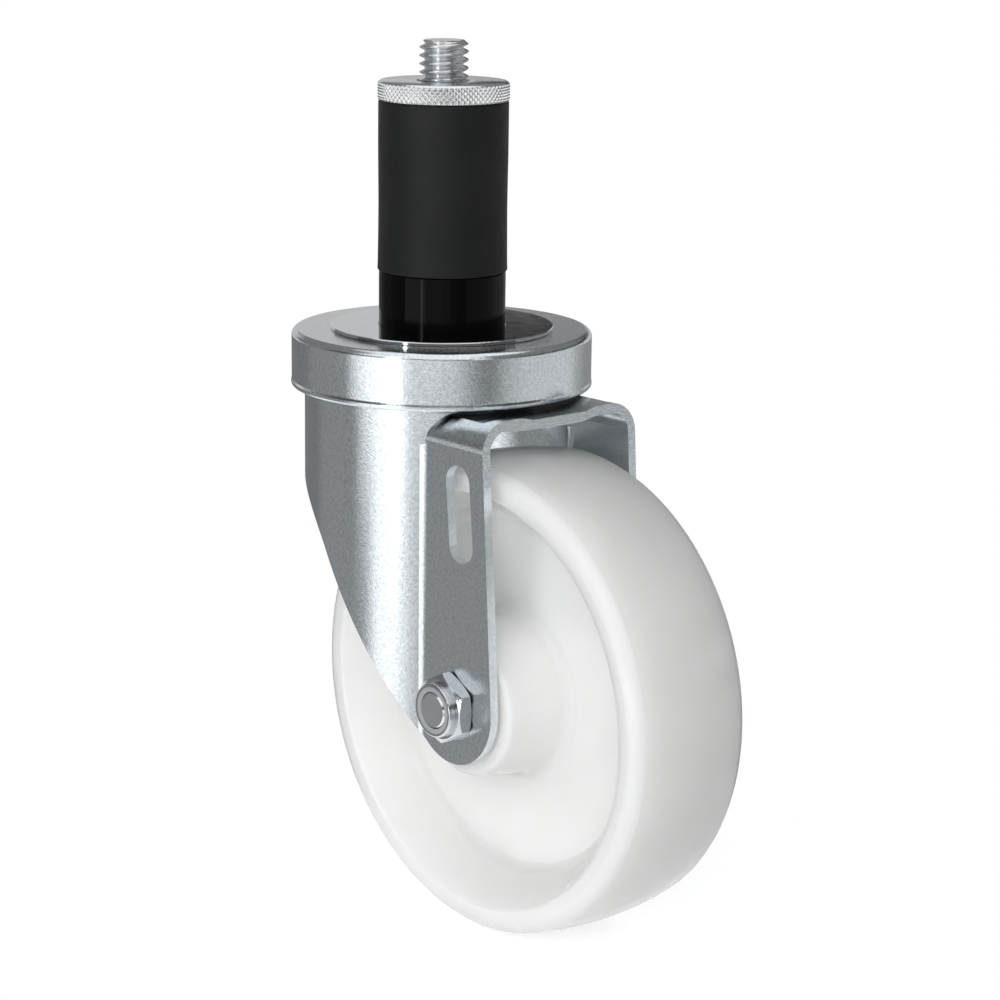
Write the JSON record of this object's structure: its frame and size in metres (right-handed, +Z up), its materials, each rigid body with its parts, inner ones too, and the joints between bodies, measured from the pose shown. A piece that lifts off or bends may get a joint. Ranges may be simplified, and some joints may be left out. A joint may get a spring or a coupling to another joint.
{
  "type": "swivel stem castor",
  "caption": "Swivel castor on an expanding rubber stem for round tube: white plastic wheel in a pressed steel fork, ball-bearing swivel head, threaded expander with knurled nut.",
  "frame": {"origin": "on the swivel axis, at the top face of the cover disc, where the end of the tube seats", "axes": "+Z up the stem, +X from the swivel axis towards the wheel's axle, Y along the wheel's axle with the axle nut at -Y"},
  "size_m": [0.1378, 0.0786, 0.2263],
  "materials": {
    "zinc_sheet": "satin",
    "zinc_steel": "satin",
    "polished_steel": "polished",
    "ball_steel": "polished",
    "black_rubber": "matt",
    "black_plastic": "gloss",
    "white_nylon": "semi-gloss",
    "nylon_insert": "satin"
  },
  "bodies": {
    "stem_head": {"rubber_sleeve": "black_rubber", "spacer_collar": "black_plastic", "cover_disc": "polished_steel", "bearing_cap": "zinc_sheet", "king_sleeve": "zinc_steel", "lower_race": "zinc_steel", "bolt_washer": "zinc_steel"},
    "clamp_bolt": {"expander_bolt": "zinc_steel"},
    "clamp_nut": {"knurled_nut": "zinc_steel"},
    "upper_ring": {"upper_balls": "ball_steel"},
    "lower_ring": {"lower_balls": "ball_steel"},
    "swivel_fork": {"fork": "zinc_sheet", "axle_bolt": "zinc_steel", "axle_nut": "zinc_steel", "nut_insert": "nylon_insert", "axle_tube": "zinc_steel"},
    "wheel": {"wheel": "white_nylon"}
  },
  "joints": [
    {"name": "swivel", "type": "hinge", "parent": "stem_head", "child": "swivel_fork", "pos_m": [0, 0, 0], "axis": [0, 0, 1], "continuous": true},
    {"name": "upper_race_roll", "type": "hinge", "parent": "stem_head", "child": "upper_ring", "pos_m": [0, 0, 0], "axis": [0, 0, 1], "continuous": true},
    {"name": "lower_race_roll", "type": "hinge", "parent": "stem_head", "child": "lower_ring", "pos_m": [0, 0, 0], "axis": [0, 0, 1], "continuous": true},
    {"name": "wheel_spin", "type": "hinge", "parent": "swivel_fork", "child": "wheel", "pos_m": [0.03602, 0, -0.09048], "axis": [0, 1, 0], "continuous": true},
    {"name": "clamp_turn", "type": "hinge", "parent": "stem_head", "child": "clamp_bolt", "pos_m": [0, 0, 0], "axis": [0, 0, 1], "range_deg": [0, 720]},
    {"name": "clamp_draw", "type": "slide", "parent": "stem_head", "child": "clamp_nut", "axis": [0, 0, -1], "range_m": [0, 0.00423], "deforming": ["rubber_sleeve"]}
  ],
  "couplings": [
    {"joint": "upper_race_roll", "follows": "swivel", "ratio": 0.5},
    {"joint": "lower_race_roll", "follows": "swivel", "ratio": 0.5},
    {"joint": "clamp_draw", "follows": "clamp_turn", "m_per_rad": 0.00033693}
  ]
}
